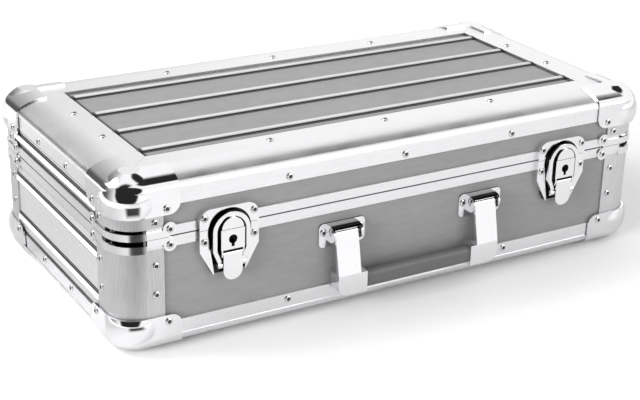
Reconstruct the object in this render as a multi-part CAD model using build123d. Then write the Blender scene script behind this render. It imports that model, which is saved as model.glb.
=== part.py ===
from build123d import *
import math
import os

# A CD storage case: boards held in metal edgings, a hinged lid, two key-locking draw latches
# and a drop handle. Millimetres. X runs along the case, the front faces -Y, Z is up.

# Overall case, measured over the edgings
case_length = 500.0
case_depth = 254.0
split_height = 95.7
lid_rise = 48.2
corner_radius = 24.0

# Edging that wraps the long and short edges
metal = 1.5
edging_height = 23.6
edging_width = 43.0
edging_flange = 11.5
crown_step = 0.5
crown_shoulder = 7.0
edging_end_gap = 2.0
mitre_gap = 0.1

# Ball corners
cap_metal = 1.2
cap_gap = 0.1
cap_reach = 51.0
cap_top_reach = 25.0
cap_side_height = 31.5
cap_corner = 9.0
cap_rivet_at = 40.0
cap_rivet_height = 26.3
ball_depth = 22.0
ball_bulge = 1.5

# Boards, lining and inside
board = 4.0
board_lap = 12.0
lining = 3.0
fit_gap = 0.3
row_count = 3
divider = 4.0
divider_drop = 8.0
divider_slot_depth = 1.8

# Raised ribs of the top board and the end boards
rib_width = 7.0
rib_height = 2.0
rib_crown = 3.6
rib_groove = 1.4
rib_groove_depth = 1.2
top_rib_count = 4
top_rib_margin = 14.85
low_end_rib_rise = 12.6
high_end_rib_drop = 13.65
lid_end_rib_rise = 7.65

# Closing frames round the opening
base_frame_height = 8.6
lid_frame_height = 8.0
frame_gap = 0.3
frame_lip_height = 8.0
tongue_height = 5.0
tongue_gap = 1.0

# Frame corner brackets
bracket_metal = 1.2
bracket_ear_at = 42.4
bracket_ear_radius = 5.4
bracket_band = 5.6
bracket_ear_lift = 6.2
bracket_dip_height = 3.2

# Vertical corner posts
post_reach = 37.9
post_inner_reach = 34.0
post_rivet_at = 31.0
low_post_rivet_rise = 25.0
high_post_rivet_drop = 13.25
lid_post_rivet_rise = 4.55

# Blind rivets
rivet_radius = 3.2
rivet_top_radius = 1.7
rivet_height = 1.1
rivet_sides = 8
front_rivet_inset = 144.0
end_rivet_inset = 97.0
flange_rivet_inset = 4.6
crown_rivet_inset = 31.8

# Hinges on the back
hinge_inset = 100.0
hinge_width = 42.0
hinge_leaf = 1.2
hinge_leaf_height = 23.0
knuckle_radius = 2.8
hinge_pin_radius = 1.4
pin_clearance = 0.05
knuckle_gap = 0.3
knuckle_relief = 0.5

# Draw latches on the front
latch_inset = 90.5
latch_half_width = 25.0
latch_sheet = 1.5
latch_lid_rise = 16.3
latch_base_drop = 17.0
latch_corner = 10.0
latch_foot_half_width = 14.0
latch_foot_rise = 3.0
latch_field = 2.0
recess_radius = 18.4
recess_centre_drop = 3.4
recess_foot_half_width = 11.5
latch_rivet_at = 21.0
housing_half_width = 10.0
housing_front = 9.4
housing_sheet = 1.2
housing_rise = 4.0
keyhole_radius = 3.6
keyhole_slot = 2.6
keyhole_tail = 6.0
plug_radius = 5.0
lug_half_width = 9.6
lug_metal = 1.1
lever_pivot_drop = 20.7
lever_pivot_out = 6.0
lever_eye_radius = 3.4
lever_half_width = 8.1
lever_sheet = 1.4
lever_length = 21.4
lever_wall_length = 12.5
lever_wall_back = 2.6
latch_pin_radius = 1.5
link_drop = 9.0
loop_centre_drop = 2.8
loop_inner_radius = 12.3
loop_width = 3.5
loop_depth = 3.5
loop_out = 5.75
loop_foot_half_width = 8.5
loop_foot_rise = 2.6
loop_leg_rise = 12.0
loop_eye_radius = 2.9
keeper_radius = 9.2
keeper_lip = 1.1
keeper_lip_front = 9.3
keeper_lip_depth = 1.2

# Drop handle
handle_shift = 10.0
handle_half_span = 67.5
strap_half_width = 10.5
strap_metal = 2.0
handle_pivot_drop = 25.7
handle_pivot_out = 4.0
handle_eye_radius = 3.6
handle_pin_radius = 1.75
handle_drop = 51.2
ferrule_height = 17.7
ferrule_overlap = 6.0
ferrule_front = 14.5
ferrule_back = 2.0
ferrule_corner = 9.0
ferrule_round = 2.5
ferrule_wall = 1.6
grip_inset = 1.3
grip_round = 4.6
grip_tenon = 12.0
hood_inner_radius = 5.4
hood_metal = 1.4
hood_half_width = 13.2
hood_lip_angle = 46.0
hood_plate_drop = 12.0
hood_plate_rise = 8.5
hood_ear_half_width = 21.2
hood_ear_corner = 4.0
hood_rivet_at = 17.3
hood_rivet_rise = 1.0

# Values worked out from the driving sizes
crown_reach = corner_radius
half_length = case_length / 2
half_depth = case_depth / 2
ground_gap = cap_metal + cap_gap
total_height = split_height + lid_rise + ground_gap
flange_edge = ground_gap + edging_height
flange_top = flange_edge - edging_flange
crown_rise = flange_top - crown_step - ground_gap
crown_span = crown_reach + crown_step
crown_radius = (crown_span ** 2 + crown_rise ** 2 - 2 * crown_span * crown_shoulder) / (2 * (crown_rise - crown_shoulder))
shoulder_angle = math.degrees(math.atan2(crown_radius - crown_rise, crown_span - crown_shoulder))
board_out = metal
board_in = metal + board
lining_in = board_in + lining
base_frame_edge = split_height - frame_gap / 2
lid_frame_edge = split_height + frame_gap / 2
floor_face = ground_gap + metal + board
ceiling_face = total_height - floor_face
hinge_out = knuckle_radius + knuckle_relief / 2
front_reach = ferrule_front
back_reach = hinge_out + knuckle_radius
origin_shift = (front_reach - back_reach) / 2
base_frame_bottom = base_frame_edge - base_frame_height
lid_frame_top = lid_frame_edge + lid_frame_height
latch_at = half_length - latch_inset
lever_pivot_height = split_height - lever_pivot_drop
link_height = lever_pivot_height - link_drop
lever_bottom = lever_pivot_height - lever_length
lever_wall_bottom = lever_pivot_height - lever_wall_length
latch_lid_top = split_height + latch_lid_rise
latch_base_bottom = lever_pivot_height - latch_base_drop
latch_foot_from = lever_pivot_height + latch_foot_rise
housing_bottom = lever_pivot_height + housing_rise
keyhole_height = (housing_bottom + base_frame_edge) / 2
handle_pivot_height = split_height - handle_pivot_drop
handle_bottom = handle_pivot_height - handle_drop
ferrule_top = handle_bottom + ferrule_height
hood_plate_bottom = handle_pivot_height - hood_plate_drop
hood_plate_top = handle_pivot_height + hood_plate_rise
hood_rivet_height = handle_pivot_height + hood_rivet_rise
hinge_at = half_length - hinge_inset
front_rivet_at = half_length - front_rivet_inset
end_rivet_at = half_depth - end_rivet_inset
loop_centre = split_height - loop_centre_drop
recess_centre = split_height - recess_centre_drop
lid_flange_edge = total_height - flange_edge
top_rib_pitch = (case_depth - 2 * edging_width - 2 * top_rib_margin) / (top_rib_count - 1)


def block(x0, x1, y0, y1, z0, z1):
    """Box between two corners."""
    return Pos((x0 + x1) / 2, (y0 + y1) / 2, (z0 + z1) / 2) * Box(x1 - x0, y1 - y0, z1 - z0)


def rod_x(radius, x0, x1, y, z):
    """Round bar along X."""
    return Pos((x0 + x1) / 2, y, z) * Rot(0, 90, 0) * Cylinder(radius, x1 - x0)


def rod_y(radius, y0, y1, x, z):
    """Round bar along Y."""
    return Pos(x, (y0 + y1) / 2, z) * Rot(90, 0, 0) * Cylinder(radius, y1 - y0)


def bar_x(face, x0, x1):
    """Sweeps a section drawn as (out of the front, height) straight along X."""
    plane = Plane(origin=(x0, -half_depth, 0), x_dir=(0, -1, 0), z_dir=(-1, 0, 0))
    return extrude(plane * face, amount=-(x1 - x0))


def front_plate(face, out0, out1):
    """Plate with its outline drawn as (X, height), between two distances out of the front."""
    plane = Plane(origin=(0, -half_depth - out0, 0), x_dir=(1, 0, 0), z_dir=(0, -1, 0))
    return extrude(plane * face, amount=out1 - out0)


def polygon(*points):
    """Face with straight sides through the points."""
    return make_face(Polyline(*points, close=True))


def disc(radius, x, y):
    """Round face."""
    return Pos(x, y) * Circle(radius)


def panel_face(x0, x1, y0, y1):
    """Rectangular face between two corners."""
    return Pos((x0 + x1) / 2, (y0 + y1) / 2) * Rectangle(x1 - x0, y1 - y0)


def turned_end(shape):
    """Turns a piece made for the front so that it faces the left end."""
    return Rot(0, 0, -90) * shape


def both_ends(shape):
    """The piece and its mirror image at the other end."""
    return [shape, mirror(shape, about=Plane.YZ)]


def front_and_back(shape):
    """The piece and its mirror image on the other long side."""
    return [shape, mirror(shape, about=Plane.XZ)]


def four_corners(shape):
    """The front left corner piece at all four corners."""
    return [copy for end in both_ends(shape) for copy in front_and_back(end)]


def to_lid(shape):
    """Turns a piece of the base upside down to its place on the lid."""
    return Pos(0, 0, total_height) * mirror(shape, about=Plane.XY)


def save(name, *solids):
    """Writes one sub-part, placed about the centre of the whole case's footprint."""
    flat = []
    for item in solids:
        flat += [Pos(0, origin_shift, 0) * solid for solid in item.solids()]
    shape = flat[0] if len(flat) == 1 else Compound(children=flat)
    export_step(shape, os.path.join("parts", name + ".step"))


# Edging
def crown_arcs(out):
    """Two tangent arcs from the edging's flange round to its flat, drawn as (inward, height) and moved out."""
    level = flange_top - crown_step
    shoulder = CenterArc((crown_shoulder - crown_step, level), crown_shoulder + out, 180, shoulder_angle)
    sweep = CenterArc((crown_reach, level + crown_radius - crown_rise), crown_radius + out, 180 + shoulder_angle,
                      90 - shoulder_angle)
    return shoulder, sweep


def crown_region(out, reach, top):
    """Region behind the edging's crown up to a reach and a height, moved out."""
    shoulder, sweep = crown_arcs(out)
    start, end = shoulder @ 0, sweep @ 1
    rest = Polyline(end, (reach, end.Y), (reach, top), (start.X, top), start)
    return make_face([shoulder, sweep, rest])


def edging_sheet_section():
    """Section of the metal edging, drawn as (inward, height)."""
    crown = crown_region(0, edging_width, flange_top)
    flange = panel_face(0, edging_width, flange_top - crown_step, flange_edge)
    inside = crown_region(-metal, 2 * edging_width, flange_top - crown_step / 2)
    hollow = panel_face(metal, 2 * edging_width, flange_top - crown_step, 2 * flange_edge)
    return (crown + flange) - inside - hollow


def mitre_cut(side, reach, end):
    """Block that trims one end of an edging to a mitre."""
    start = corner_radius + edging_end_gap
    far = edging_width + 2 * start
    plan = polygon((-start, -start), (start, -start), (start, start), (far, far), (-start, far))
    cut = Pos(-end, -reach, -start) * extrude(plan, amount=2 * flange_edge + start)
    return cut if side < 0 else mirror(cut, about=Plane.YZ)


def edging(end, reach):
    """Edging of the front bottom edge, for a case with these half sizes along and across it."""
    plane = Plane(origin=(-end, -reach, 0), x_dir=(0, 1, 0), z_dir=(1, 0, 0))
    strip = extrude(plane * edging_sheet_section(), amount=2 * end)
    return strip - mitre_cut(-1, reach, end - mitre_gap) - mitre_cut(1, reach, end - mitre_gap)


long_edging = edging(half_length, half_depth)
short_edging = turned_end(edging(half_depth, half_length))


# Ball corners
def crown_chords(out, reach, top):
    """The crown's region with straight chords in place of its arcs, which stays inside it."""
    shoulder, sweep = crown_arcs(out)
    start, end = shoulder @ 0, sweep @ 1
    middle = [arc @ part for arc, part in ((shoulder, 0.5), (shoulder, 1), (sweep, 0.5))]
    return polygon((start.X, top), (start.X, start.Y), *[(point.X, point.Y) for point in middle],
                   (end.X, end.Y), (reach, end.Y), (reach, top))


def corner_body(out, arm_end, reach, top, bend_region):
    """Corner of the case with one arm along each edge, moved out and made about its own corner."""
    radius = crown_reach
    turn = bend_region(out, reach, top) & panel_face(-radius, radius, -top, top)
    plane = Plane(origin=(radius, 0, 0), x_dir=(0, 1, 0), z_dir=(1, 0, 0))
    bend = revolve(plane * turn, Axis((radius, radius, 0), (0, 0, 1)), revolution_arc=-90)
    arm = extrude(plane * crown_region(out, reach, top), amount=arm_end - radius)
    return bend + arm + mirror(arm, about=Plane(origin=(0, 0, 0), z_dir=(1, -1, 0)))


def cap_outline():
    """Outline of one side of the corner cap with its rounded corner, drawn as (along, height)."""
    low = -2 * ball_bulge
    start = -4 * ball_bulge
    square = panel_face(cap_reach - cap_corner, cap_reach, cap_side_height - cap_corner, cap_side_height)
    rounded = disc(cap_corner, cap_reach - cap_corner, cap_side_height - cap_corner)
    return panel_face(start, cap_reach, low, cap_side_height) - (square - rounded)


def ball_corner():
    """Pressed corner cap of the base's front left corner with its ball."""
    depth = ball_depth - crown_step - ground_gap
    ball_place = Pos(depth, depth, ball_depth)
    outer = corner_body(ground_gap, cap_reach, cap_top_reach, cap_side_height, crown_region)
    outer += ball_place * Sphere(ball_depth + ball_bulge)
    hollow = corner_body(cap_gap, 2 * cap_reach, 2 * cap_top_reach, 2 * cap_side_height, crown_chords)
    reach = 2 * cap_reach
    front = extrude(Plane(origin=(0, reach, 0), x_dir=(1, 0, 0), z_dir=(0, -1, 0)) * cap_outline(), amount=2 * reach)
    side = extrude(Plane(origin=(-reach, 0, 0), x_dir=(0, 1, 0), z_dir=(1, 0, 0)) * cap_outline(), amount=2 * reach)
    above = block(-reach, reach, -reach, reach, 0, reach)
    shell = (outer & above & front & side) - hollow
    return Pos(-half_length, -half_depth, 0) * shell


cap = ball_corner()


# Corner posts
def post_ring(out0, out1):
    """Plan ring that follows the case's outline between two depths."""
    outer = RectangleRounded(case_length - 2 * out0, case_depth - 2 * out0, corner_radius - out0)
    inner = RectangleRounded(case_length - 2 * out1, case_depth - 2 * out1, corner_radius - out1)
    return outer - inner


def corner_square(reach):
    """Square of the plan at the front left corner."""
    return panel_face(-half_length, -half_length + reach, -half_depth, -half_depth + reach)


def corner_post(z0, z1):
    """Double-walled upright section that holds two boards at a rounded corner."""
    outer = post_ring(0, metal) & corner_square(post_reach)
    inner = post_ring(board_in, board_in + metal) & corner_square(post_inner_reach)
    web_end = corner_radius
    web_x = panel_face(-half_length + web_end - metal, -half_length + web_end,
                       -half_depth + metal / 2, -half_depth + board_in + metal / 2)
    web_y = panel_face(-half_length + metal / 2, -half_length + board_in + metal / 2,
                       -half_depth + web_end - metal, -half_depth + web_end)
    return Pos(0, 0, z0) * extrude(outer + inner + web_x + web_y, amount=z1 - z0)


base_post = corner_post(flange_edge, base_frame_bottom)
lid_post = corner_post(lid_frame_top, lid_flange_edge)


# Boards
board_end = half_length - corner_radius
board_side = half_depth - corner_radius
board_low = flange_edge - edging_flange + crown_step
base_board_top = base_frame_edge - metal
lid_board_bottom = lid_frame_edge + metal
lid_board_top = total_height - board_low


def long_board(z0, z1):
    """Board of the front."""
    return block(-board_end, board_end, -half_depth + board_out, -half_depth + board_in, z0, z1)


def rib(length):
    """Raised rib along X with a flat crown, on a face that looks towards +Z."""
    half = rib_width / 2
    section = polygon((-rib_crown / 2, rib_height), (-half, 0), (-half, -rib_groove_depth), (half, -rib_groove_depth),
                      (half, 0), (rib_crown / 2, rib_height))
    return extrude(Plane(origin=(-length / 2, 0, 0), x_dir=(0, 1, 0), z_dir=(1, 0, 0)) * section, amount=length)


def rib_grooves(length):
    """The two narrow grooves that run beside a rib."""
    start = rib_width / 2
    end = start + rib_groove
    near = block(-length / 2, length / 2, start, end, -rib_groove_depth, rib_height)
    return near + mirror(near, about=Plane.XZ)


def end_board(z0, z1, rib_heights):
    """Board of the left end with its ribs."""
    board_solid = block(-half_length + board_out, -half_length + board_in, -board_side, board_side, z0, z1)
    rib_length = case_depth - 2 * post_reach - fit_gap
    for height in rib_heights:
        place = Pos(-half_length + board_out, 0, height) * Rot(0, -90, 0) * Rot(0, 0, 90)
        board_solid = board_solid - place * rib_grooves(rib_length) + place * rib(rib_length)
    return board_solid


base_rib_heights = (flange_edge + low_end_rib_rise, base_frame_bottom - high_end_rib_drop)
base_end_board = end_board(board_low, base_board_top, base_rib_heights)
lid_end_board = end_board(lid_board_bottom, lid_board_top, (lid_frame_top + lid_end_rib_rise,))
plate_inset = edging_width - board_lap
floor_board = block(-half_length + plate_inset, half_length - plate_inset,
                    -half_depth + plate_inset, half_depth - plate_inset, ground_gap + metal, floor_face)
top_board = to_lid(floor_board)
top_board_face = total_height - ground_gap - metal
top_rib_length = case_length - 2 * edging_width - fit_gap
for index in range(top_rib_count):
    rib_y = (index - (top_rib_count - 1) / 2) * top_rib_pitch
    rib_place = Pos(0, rib_y, top_board_face)
    top_board = top_board - rib_place * rib_grooves(top_rib_length) + rib_place * rib(top_rib_length)


# Closing frames
def base_frame_section():
    """Section of the base's closing frame with its tongue, drawn as (inward, height)."""
    tongue_start = board_in + metal + tongue_gap
    outer = panel_face(0, metal, base_frame_bottom, base_frame_edge)
    web = panel_face(0, tongue_start + metal, base_board_top, base_frame_edge)
    lip = panel_face(board_in, board_in + metal, base_frame_edge - frame_lip_height, base_frame_edge)
    tongue = panel_face(tongue_start, tongue_start + metal, base_board_top, base_frame_edge + tongue_height)
    return outer + web + lip + tongue


def lid_frame_section():
    """Section of the lid's closing frame, drawn as (inward, height)."""
    outer = panel_face(0, metal, lid_frame_edge, lid_frame_top)
    web = panel_face(0, board_in + metal, lid_frame_edge, lid_board_bottom)
    lip = panel_face(board_in, board_in + metal, lid_frame_edge, lid_frame_edge + frame_lip_height)
    return outer + web + lip


def frame_length(section, length, reach):
    """One straight length of closing frame at the front."""
    plane = Plane(origin=(-length / 2, -reach, 0), x_dir=(0, 1, 0), z_dir=(1, 0, 0))
    return extrude(plane * section, amount=length)


def frame_ring(section):
    """The four straight lengths of one closing frame."""
    long_side = frame_length(section, case_length - 2 * corner_radius, half_depth)
    short_side = turned_end(frame_length(section, case_depth - 2 * corner_radius, half_length))
    return front_and_back(long_side) + both_ends(short_side)


# Frame corner brackets
def frame_bracket(edge, direction, dip):
    """Curved strap round one corner with a rounded ear on each arm."""
    ear_height = edge + direction * bracket_ear_lift
    low, high = sorted((edge, edge + direction * bracket_band))
    ring = post_ring(-bracket_metal, 0) & panel_face(-half_length - bracket_metal, -half_length + corner_radius,
                                                     -half_depth - bracket_metal, -half_depth + corner_radius)
    far = edge + direction * (base_frame_height + bracket_dip_height * 0.5)
    if dip:
        bend_low, bend_high = sorted((edge + direction * (bracket_band - bracket_dip_height / 2), far))
    else:
        bend_low, bend_high = low, high
    bend = Pos(0, 0, bend_low) * extrude(ring, amount=bend_high - bend_low)
    arm_face = panel_face(corner_radius, bracket_ear_at, low, high) + disc(bracket_ear_radius, bracket_ear_at, ear_height)
    trim = panel_face(0, 2 * bracket_ear_at, *sorted((edge, edge + direction * 3 * bracket_band)))
    arm_face = arm_face & trim
    front_arm = extrude(Plane(origin=(-half_length, -half_depth, 0), x_dir=(1, 0, 0), z_dir=(0, -1, 0)) * arm_face,
                        amount=bracket_metal)
    side_arm = extrude(Plane(origin=(-half_length, -half_depth, 0), x_dir=(0, 1, 0), z_dir=(1, 0, 0)) * arm_face,
                       amount=-bracket_metal)
    return bend + front_arm + side_arm


base_bracket = frame_bracket(base_frame_edge, -1, True)
lid_bracket = frame_bracket(lid_frame_edge, 1, False)


# Rivets
def rivet():
    """Blind rivet head standing on Z = 0, its flanks drawn in to a small flat."""
    flank = (rivet_radius - rivet_top_radius) * math.cos(math.pi / rivet_sides)
    lean = math.degrees(math.atan2(flank, rivet_height))
    return extrude(RegularPolygon(rivet_radius, rivet_sides), amount=rivet_height, taper=lean)


def front_rivet(x, z, out=0.0):
    """Rivet on the front, its seat this far out of the case's face."""
    return Pos(x, -half_depth - out, z) * Rot(90, 0, 0) * rivet()


def left_rivet(y, z, out=0.0):
    """Rivet on the left end."""
    return Pos(-half_length - out, y, z) * Rot(0, -90, 0) * rivet()


def top_rivet(x, y):
    """Rivet on the lid's top flange."""
    return Pos(x, y, total_height - ground_gap) * rivet()


def edging_rivets():
    """Rivets of the lid's edgings: three along each long edge and two along each end."""
    heads = []
    height = lid_flange_edge + flange_rivet_inset
    for step in (-1, 0, 1):
        heads += front_and_back(front_rivet(step * front_rivet_at, height))
        heads += front_and_back(top_rivet(step * front_rivet_at, -half_depth + crown_rivet_inset))
    for side in (-1, 1):
        heads += both_ends(left_rivet(side * end_rivet_at, height))
        heads += both_ends(top_rivet(-half_length + crown_rivet_inset, side * end_rivet_at))
    return heads


def corner_rivets(at, heights, out=0.0):
    """Rivets on both faces of every corner at the same distance from it."""
    heads = []
    for height in heights:
        heads += four_corners(front_rivet(-half_length + at, height, out))
        heads += four_corners(left_rivet(-half_depth + at, height, out))
    return heads


cap_out = crown_step + ground_gap
lid_rivets = edging_rivets()
lid_rivets += corner_rivets(post_rivet_at, (lid_frame_top + lid_post_rivet_rise,))
lid_rivets += corner_rivets(bracket_ear_at, (lid_frame_edge + bracket_ear_lift,), bracket_metal)
lid_rivets += corner_rivets(cap_rivet_at, (total_height - cap_rivet_height,), cap_out)
base_rivets = [to_lid(head) for head in edging_rivets()]
post_rivet_heights = (flange_edge + low_post_rivet_rise, base_frame_bottom - high_post_rivet_drop)
base_rivets += corner_rivets(post_rivet_at, post_rivet_heights)
base_rivets += corner_rivets(bracket_ear_at, (base_frame_edge - bracket_ear_lift,), bracket_metal)
base_rivets += corner_rivets(cap_rivet_at, (cap_rivet_height,), cap_out)


# Lining and dividers
lining_corner = post_inner_reach + fit_gap
floor_pad_top = floor_face + lining
base_lining_top = base_frame_edge - frame_lip_height - fit_gap
lid_lining_bottom = lid_frame_edge + frame_lip_height + fit_gap
inner_length = case_length - 2 * (lining_in + fit_gap)
inner_depth = case_depth - 2 * (lining_in + fit_gap)
row_pitch = inner_length / row_count
divider_positions = [(index + 1) * row_pitch - inner_length / 2 for index in range(row_count - 1)]
divider_half_depth = half_depth - lining_in + divider_slot_depth - fit_gap


def wall_lining(z0, z1):
    """Foam strips inside the four walls."""
    long_strip = block(-half_length + lining_corner, half_length - lining_corner,
                       -half_depth + board_in, -half_depth + lining_in, z0, z1)
    short_strip = block(-half_length + board_in, -half_length + lining_in,
                        -half_depth + lining_corner, half_depth - lining_corner, z0, z1)
    return front_and_back(long_strip), both_ends(short_strip)


base_long_lining, base_short_lining = wall_lining(floor_pad_top, base_lining_top)
lid_long_lining, lid_short_lining = wall_lining(lid_lining_bottom, ceiling_face - lining)
slot_half = divider / 2 + fit_gap
for slot_x in divider_positions:
    for side in (-1, 1):
        slot_y = side * (half_depth - lining_in)
        slot = block(slot_x - slot_half, slot_x + slot_half, slot_y - divider_slot_depth,
                     slot_y + divider_slot_depth, 0, total_height)
        base_long_lining = [strip - slot for strip in base_long_lining]
dividers = [block(x - divider / 2, x + divider / 2, -divider_half_depth, divider_half_depth,
                  floor_pad_top, base_frame_edge - divider_drop) for x in divider_positions]
pad_half_length = inner_length / 2
pad_half_depth = inner_depth / 2
floor_pad = block(-pad_half_length, pad_half_length, -pad_half_depth, pad_half_depth, floor_face, floor_pad_top)
lid_pad = block(-pad_half_length, pad_half_length, -pad_half_depth, pad_half_depth,
                ceiling_face - lining, ceiling_face)


# Hinges
hinge_third = hinge_width / 3


def leaf_section(direction):
    """Cranked leaf of a hinge, drawn as (out of the back, height), from its board to the pin."""
    frame_end = base_frame_bottom if direction < 0 else lid_frame_top
    edge = split_height + direction * (knuckle_radius + knuckle_relief)
    over = frame_end + direction * knuckle_gap
    tail = split_height + direction * hinge_leaf_height
    return polygon((-board_out, over), (-board_out, tail), (-board_out + hinge_leaf, tail),
                   (-board_out + hinge_leaf, over + direction * hinge_leaf), (hinge_leaf, over + direction * hinge_leaf),
                   (hinge_leaf, edge), (0, edge), (0, over))


def hinge_leaf_solid(direction, knuckles):
    """Hinge leaf at the middle of the back, with knuckles on the given thirds."""
    plane = Plane(origin=(-hinge_width / 2, half_depth, 0), x_dir=(0, 1, 0), z_dir=(1, 0, 0))
    leaf = extrude(plane * leaf_section(direction), amount=hinge_width)
    edge = split_height + direction * (knuckle_radius + knuckle_relief)
    for index in knuckles:
        x0 = -hinge_width / 2 + index * hinge_third + knuckle_gap / 2
        x1 = x0 + hinge_third - knuckle_gap
        low, high = sorted((split_height, edge))
        web = block(x0, x1, half_depth + knuckle_relief / 2, half_depth + hinge_leaf, low, high)
        leaf += web + rod_x(knuckle_radius, x0, x1, half_depth + hinge_out, split_height)
    bore = rod_x(hinge_pin_radius + pin_clearance, -hinge_width, hinge_width, half_depth + hinge_out, split_height)
    return leaf - bore


base_leaf = hinge_leaf_solid(-1, (0, 2))
lid_leaf = hinge_leaf_solid(1, (1,))
hinge_pin = rod_x(hinge_pin_radius, -hinge_width / 2, hinge_width / 2, half_depth + hinge_out, split_height)


def hinge_leaf_rivets(height):
    """Rivets of one leaf's tail."""
    seat = board_out - hinge_leaf
    return [mirror(front_rivet(x, height, -seat), about=Plane.XZ) for x in (-hinge_third, hinge_third)]


hinge_rivet_drop = hinge_leaf_height - 2 * rivet_radius


# Latches, made at X = 0 and copied to both places
def arch(radius, centre, low):
    """Upright face with a round top, drawn as (X, height)."""
    top = disc(radius, 0, centre) & panel_face(-radius, radius, centre, centre + radius)
    return top + panel_face(-radius, radius, low, centre)


def latch_plate_outline(low, high):
    """Outline of both latch plates together, cut to a band of heights."""
    width = latch_half_width
    upper = Pos(0, (latch_foot_from + latch_lid_top) / 2) * RectangleRounded(
        2 * width, latch_lid_top - latch_foot_from, latch_corner)
    foot = polygon((-width, split_height), (-width, latch_foot_from), (-latch_foot_half_width, latch_base_bottom),
                   (latch_foot_half_width, latch_base_bottom), (width, latch_foot_from), (width, split_height))
    return (upper + foot) & panel_face(-width, width, low, high)


def latch_recess():
    """Arched channel in which the loop lies, drawn as (X, height)."""
    foot = polygon((-recess_radius, recess_centre), (-recess_foot_half_width, latch_base_bottom - latch_corner),
                   (recess_foot_half_width, latch_base_bottom - latch_corner), (recess_radius, recess_centre))
    return disc(recess_radius, 0, recess_centre) + foot


def latch_plate(low, high, joint_height):
    """Pressed plate with a raised field round the recess, stepped over the frame."""
    outline = latch_plate_outline(low, high)
    sheet = front_plate(outline, -board_out, latch_sheet)
    field = front_plate(outline - latch_recess(), latch_sheet, latch_sheet + latch_field)
    step_low, step_high = sorted((joint_height, split_height))
    frame_room = block(-case_length, case_length, -half_depth, half_depth, step_low, step_high)
    return sheet + field - frame_room


def keeper():
    """Round-topped hook on the lid plate, with a lip over the loop."""
    stem_radius = keeper_radius - keeper_lip
    above = panel_face(-keeper_radius, keeper_radius, lid_frame_edge, split_height + 2 * keeper_radius)
    stem = front_plate(disc(stem_radius, 0, split_height) & above, latch_sheet, keeper_lip_front)
    lip = front_plate(disc(keeper_radius, 0, split_height) & above, keeper_lip_front - keeper_lip_depth, keeper_lip_front)
    return stem + lip


def keyhole(x_half, bottom):
    """Keyhole outline with its tail, drawn as (X, height)."""
    return disc(keyhole_radius, 0, keyhole_height) + panel_face(-x_half, x_half, bottom, keyhole_height)


def lock_housing():
    """Open-backed box in front of the base plate, with the keyhole and the lever's two lugs."""
    face = panel_face(-housing_half_width, housing_half_width, housing_bottom, base_frame_edge)
    shell = front_plate(face, latch_sheet, housing_front)
    inside = panel_face(-housing_half_width + housing_sheet, housing_half_width - housing_sheet,
                        housing_bottom + housing_sheet, base_frame_edge - housing_sheet)
    shell -= front_plate(inside, latch_sheet, housing_front - housing_sheet)
    shell -= front_plate(keyhole(keyhole_slot / 2, keyhole_height - keyhole_tail), latch_sheet, 2 * housing_front)
    lug = disc(lever_eye_radius, lever_pivot_out, lever_pivot_height)
    lug += polygon((latch_sheet, housing_bottom), (latch_sheet, lever_pivot_height),
                   (lever_pivot_out, lever_pivot_height - lever_eye_radius),
                   (lever_pivot_out + lever_eye_radius, lever_pivot_height), (lever_pivot_out + lever_eye_radius,
                                                                             housing_bottom))
    lug -= disc(latch_pin_radius, lever_pivot_out, lever_pivot_height)
    return shell + both_sides_bar(lug, lug_half_width - lug_metal, lug_half_width)


def both_sides_bar(face, inner, outer):
    """A section swept on both sides of the middle."""
    right = bar_x(face, inner, outer)
    return right + mirror(right, about=Plane.YZ)


def lock_plug():
    """Turning plug behind the keyhole, with its own key slot."""
    front = housing_front - housing_sheet - fit_gap
    back = latch_sheet + fit_gap
    plug = rod_y(plug_radius, -half_depth - front, -half_depth - back, 0, keyhole_height)
    slot = block(-keyhole_slot / 2, keyhole_slot / 2, -half_depth - 2 * front,
                 -half_depth - (front + back) / 2, keyhole_height - keyhole_radius, keyhole_height)
    return plug - slot


def latch_lever():
    """Lever with a rolled barrel on top, side walls and a rounded pull tab."""
    pivot = (lever_pivot_out, lever_pivot_height)
    front = lever_pivot_out + lever_eye_radius
    face_half = lever_half_width
    face_outline = panel_face(-face_half, face_half, lever_bottom + face_half, lever_pivot_height)
    face_outline += disc(face_half, 0, lever_bottom + face_half)
    face = front_plate(face_outline, front - lever_sheet, front)
    barrel = bar_x(disc(lever_eye_radius, *pivot), -face_half, face_half)
    wall = polygon((front - lever_sheet / 2, lever_pivot_height), (lever_wall_back, lever_pivot_height),
                   (lever_wall_back, link_height - lever_eye_radius / 2), (front - lever_sheet / 2, lever_wall_bottom))
    lever = face + barrel + both_sides_bar(wall, face_half - lever_sheet, face_half)
    lever -= bar_x(disc(latch_pin_radius + pin_clearance, *pivot), -face_half, face_half)
    lever -= bar_x(disc(latch_pin_radius, loop_out, link_height), -face_half, face_half)
    return lever


def latch_loop():
    """Arched loop whose legs draw in to an eye on each side of the lever."""
    outer_radius = loop_inner_radius + loop_width
    leg_top = link_height + loop_leg_rise
    ring = arch(outer_radius, loop_centre, leg_top) - arch(loop_inner_radius, loop_centre, leg_top)
    foot_outer = loop_foot_half_width + loop_width
    foot_top = link_height + loop_foot_rise
    half = loop_depth / 2
    loop = front_plate(ring, loop_out - half, loop_out + half)
    leg = polygon((loop_inner_radius, leg_top), (loop_foot_half_width, foot_top), (loop_foot_half_width, link_height),
                  (foot_outer, link_height), (foot_outer, foot_top), (outer_radius, leg_top))
    leg_bar = front_plate(leg, loop_out - half, loop_out + half)
    loop += leg_bar + mirror(leg_bar, about=Plane.YZ)
    eye = disc(loop_eye_radius, loop_out, link_height)
    loop += both_sides_bar(eye, loop_foot_half_width, foot_outer)
    bore = bar_x(disc(latch_pin_radius + pin_clearance, loop_out, link_height), -outer_radius, outer_radius)
    return loop - bore


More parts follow.
